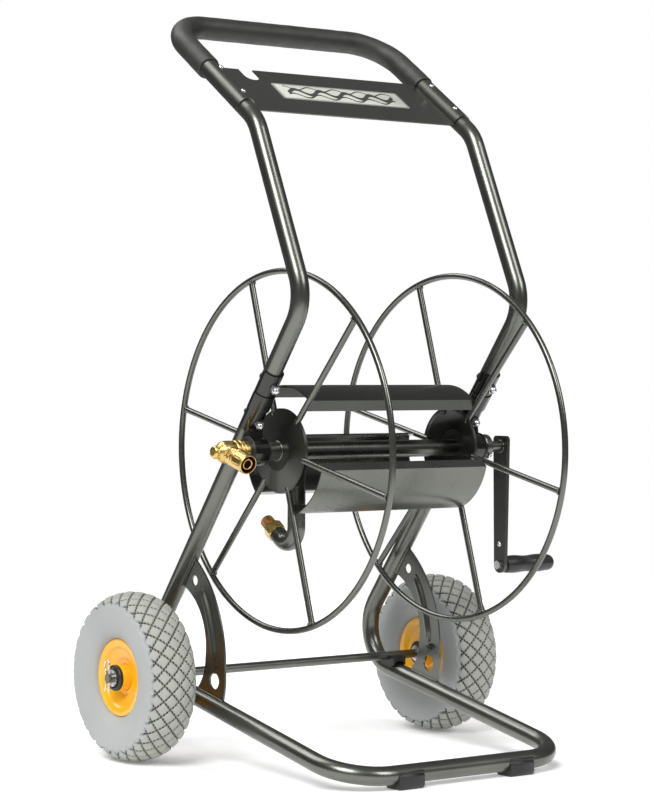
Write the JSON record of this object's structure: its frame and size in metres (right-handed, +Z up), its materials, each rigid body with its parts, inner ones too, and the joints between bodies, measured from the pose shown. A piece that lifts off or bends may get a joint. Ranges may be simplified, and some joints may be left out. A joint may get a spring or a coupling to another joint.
{
  "type": "hose reel cart",
  "caption": "Two-wheeled garden hose reel cart: bent tube frame with a padded handle, wire-spoked reel turned by a side crank, brass swivel water inlet and threaded outlet.",
  "frame": {"origin": "point on the ground under the middle of the whole cart's bounding box", "axes": "+X along the axles towards the crank, -Y towards the foot bar at the front, +Z up"},
  "size_m": [0.727, 0.5992, 1.1569],
  "materials": {
    "frame_paint": "metallic gloss",
    "reel_paint": "metallic gloss",
    "rim_paint": "gloss",
    "foam": "matte",
    "badge": "satin",
    "black_plastic": "satin",
    "tyre_rubber": "matte",
    "seal_rubber": "matte",
    "plated_steel": "bright",
    "brass": "bright"
  },
  "bodies": {
    "frame": {"wheel_axle": "frame_paint", "base_hoop": "frame_paint", "handle_tube": "frame_paint", "handle_grip": "foam", "top_panel": "frame_paint", "panel_rivets": "plated_steel", "badge_plate": "badge", "gusset_bolts": "plated_steel", "axle_washers": "plated_steel", "axle_circlips": "plated_steel", "bracket_bolts": "plated_steel", "bracket_dome_nuts": "plated_steel", "left_frame_tube": "frame_paint", "left_foot": "black_plastic", "left_gusset": "frame_paint", "left_axle_saddle": "black_plastic", "left_r_clip": "plated_steel", "left_bearing_bracket": "frame_paint", "left_bearing_bush": "black_plastic", "right_frame_tube": "frame_paint", "right_foot": "black_plastic", "right_gusset": "frame_paint", "right_axle_saddle": "black_plastic", "right_r_clip": "plated_steel", "right_bearing_bracket": "frame_paint", "right_bearing_bush": "black_plastic"},
    "left_wheel": {"left_tyre": "tyre_rubber", "left_rim": "rim_paint", "left_hub_bushes": "black_plastic"},
    "right_wheel": {"right_tyre": "tyre_rubber", "right_rim": "rim_paint", "right_hub_bushes": "black_plastic"},
    "reel": {"reel_axle_tube": "reel_paint", "drum_plate_1": "reel_paint", "drum_plate_2": "reel_paint", "drum_plate_3": "reel_paint", "outlet_pipe": "reel_paint", "outlet_union": "brass", "locking_collar": "reel_paint", "collar_screw": "plated_steel", "crank_spindle": "plated_steel", "crank_arm": "reel_paint", "crank_rivet": "plated_steel", "grip_bolt": "plated_steel", "grip_washer": "black_plastic", "left_hoop": "reel_paint", "left_spokes": "reel_paint", "left_hub_disc": "reel_paint", "right_hoop": "reel_paint", "right_spokes": "reel_paint", "right_hub_disc": "reel_paint"},
    "crank_grip": {"crank_grip": "black_plastic"},
    "inlet_swivel": {"swivel_body": "brass", "swivel_seal": "seal_rubber", "coupling_tail": "brass", "clamp_ring": "black_plastic"},
    "coupling_nut": {"coupling_nut": "brass"}
  },
  "joints": [
    {"name": "left_wheel_spin", "type": "hinge", "parent": "frame", "child": "left_wheel", "pos_m": [-0.3155, 0.1695, 0.13], "axis": [1, 0, 0], "continuous": true},
    {"name": "right_wheel_spin", "type": "hinge", "parent": "frame", "child": "right_wheel", "pos_m": [0.2785, 0.1695, 0.13], "axis": [1, 0, 0], "continuous": true},
    {"name": "reel_spin", "type": "hinge", "parent": "frame", "child": "reel", "pos_m": [-0.0185, -0.025, 0.48], "axis": [1, 0, 0], "continuous": true},
    {"name": "crank_grip_spin", "type": "hinge", "parent": "reel", "child": "crank_grip", "pos_m": [0.3125, -0.025, 0.29], "axis": [1, 0, 0], "continuous": true},
    {"name": "inlet_swivel_turn", "type": "hinge", "parent": "frame", "child": "inlet_swivel", "pos_m": [-0.2485, -0.025, 0.48], "axis": [1, 0, 0], "continuous": true},
    {"name": "coupling_nut_spin", "type": "hinge", "parent": "inlet_swivel", "child": "coupling_nut", "pos_m": [-0.2795, -0.06331, 0.46851], "axis": [0, -0.9578, -0.2874], "continuous": true}
  ]
}
